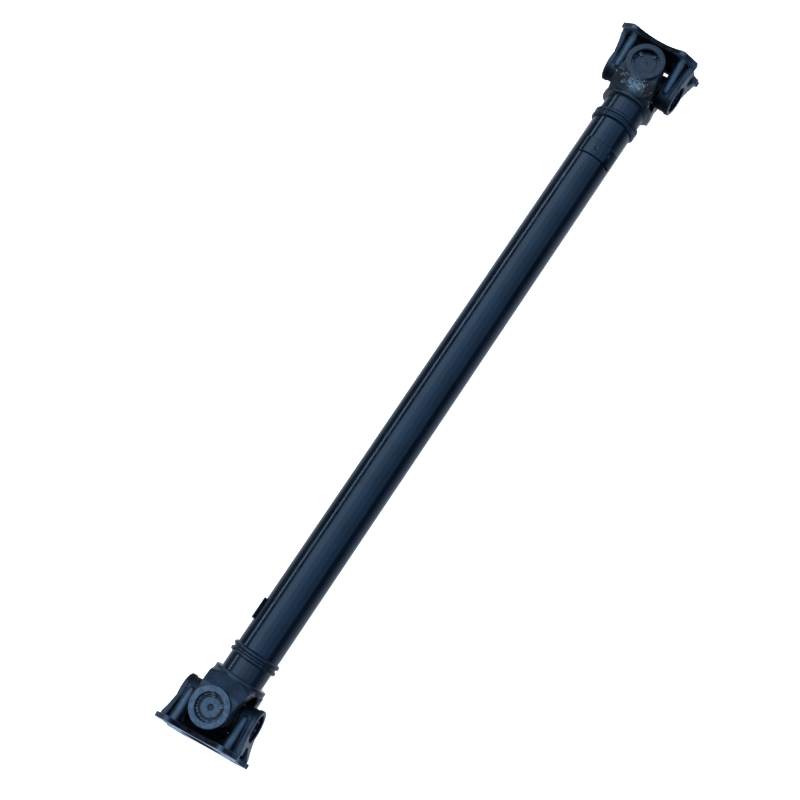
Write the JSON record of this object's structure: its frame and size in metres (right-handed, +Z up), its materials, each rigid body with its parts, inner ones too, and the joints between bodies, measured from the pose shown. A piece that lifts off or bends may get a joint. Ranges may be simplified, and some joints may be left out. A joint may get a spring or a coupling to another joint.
{
  "type": "universal joint shaft",
  "caption": "Fixed-length painted steel drive shaft: a welded tube with a cross-type universal joint and a lobed bolt flange at each end.",
  "frame": {"origin": "on the tube's axis, midway between the two joint centres", "axes": "+X along the shaft towards the front joint, +Y to the left, +Z up along the pins of the weld yokes"},
  "size_m": [0.955, 0.1024, 0.103],
  "materials": {
    "tube_paint": "gloss blue-black paint",
    "yoke_paint": "satin blue-black paint on a forging",
    "bead_paint": "satin blue-black paint",
    "weight_paint": "satin blue-black paint",
    "flange_paint": "satin blue-black paint on a forging",
    "cross_steel": "forged steel with ground trunnions",
    "cup_steel": "thinly painted drawn steel",
    "spring_steel": "phosphated spring steel",
    "bearing_steel": "polished bearing steel",
    "seal_rubber": "matt nitrile rubber",
    "disc_plastic": "natural nylon"
  },
  "bodies": {
    "shaft": {"shaft_tube": "tube_paint", "rear_weld_yoke": "yoke_paint", "front_weld_yoke": "yoke_paint", "rear_weld_bead": "bead_paint", "front_weld_bead": "bead_paint", "rear_balance_weight": "weight_paint", "front_balance_weight": "weight_paint", "rear_cup_top": "cup_steel", "rear_cup_bottom": "cup_steel", "rear_needles_top": "bearing_steel", "rear_needles_bottom": "bearing_steel", "rear_circlip_top": "spring_steel", "rear_circlip_bottom": "spring_steel", "rear_seal_top": "seal_rubber", "rear_seal_bottom": "seal_rubber", "rear_thrust_disc_top": "disc_plastic", "rear_thrust_disc_bottom": "disc_plastic", "front_cup_top": "cup_steel", "front_cup_bottom": "cup_steel", "front_needles_top": "bearing_steel", "front_needles_bottom": "bearing_steel", "front_circlip_top": "spring_steel", "front_circlip_bottom": "spring_steel", "front_seal_top": "seal_rubber", "front_seal_bottom": "seal_rubber", "front_thrust_disc_top": "disc_plastic", "front_thrust_disc_bottom": "disc_plastic"},
    "rear_cross": {"rear_cross": "cross_steel"},
    "rear_flange": {"rear_flange_yoke": "flange_paint", "rear_cup_left": "cup_steel", "rear_cup_right": "cup_steel", "rear_needles_left": "bearing_steel", "rear_needles_right": "bearing_steel", "rear_circlip_left": "spring_steel", "rear_circlip_right": "spring_steel", "rear_seal_left": "seal_rubber", "rear_seal_right": "seal_rubber", "rear_thrust_disc_left": "disc_plastic", "rear_thrust_disc_right": "disc_plastic"},
    "front_cross": {"front_cross": "cross_steel"},
    "front_flange": {"front_flange_yoke": "flange_paint", "front_cup_left": "cup_steel", "front_cup_right": "cup_steel", "front_needles_left": "bearing_steel", "front_needles_right": "bearing_steel", "front_circlip_left": "spring_steel", "front_circlip_right": "spring_steel", "front_seal_left": "seal_rubber", "front_seal_right": "seal_rubber", "front_thrust_disc_left": "disc_plastic", "front_thrust_disc_right": "disc_plastic"}
  },
  "joints": [
    {"name": "rear_upright_pins", "type": "hinge", "parent": "shaft", "child": "rear_cross", "pos_m": [-0.428, 0, 0], "axis": [0, 0, 1], "range_deg": [-24.5, 11.5]},
    {"name": "rear_flange_pins", "type": "hinge", "parent": "rear_cross", "child": "rear_flange", "pos_m": [-0.428, 0, 0], "axis": [-0.1132, 0.9936, 0], "range_deg": [-23, 7]},
    {"name": "front_upright_pins", "type": "hinge", "parent": "shaft", "child": "front_cross", "pos_m": [0.428, 0, 0], "axis": [0, 0, 1], "range_deg": [-15.5, 20.5]},
    {"name": "front_flange_pins", "type": "hinge", "parent": "front_cross", "child": "front_flange", "pos_m": [0.428, 0, 0], "axis": [0.0436, 0.999, 0], "range_deg": [-3, 27]}
  ]
}
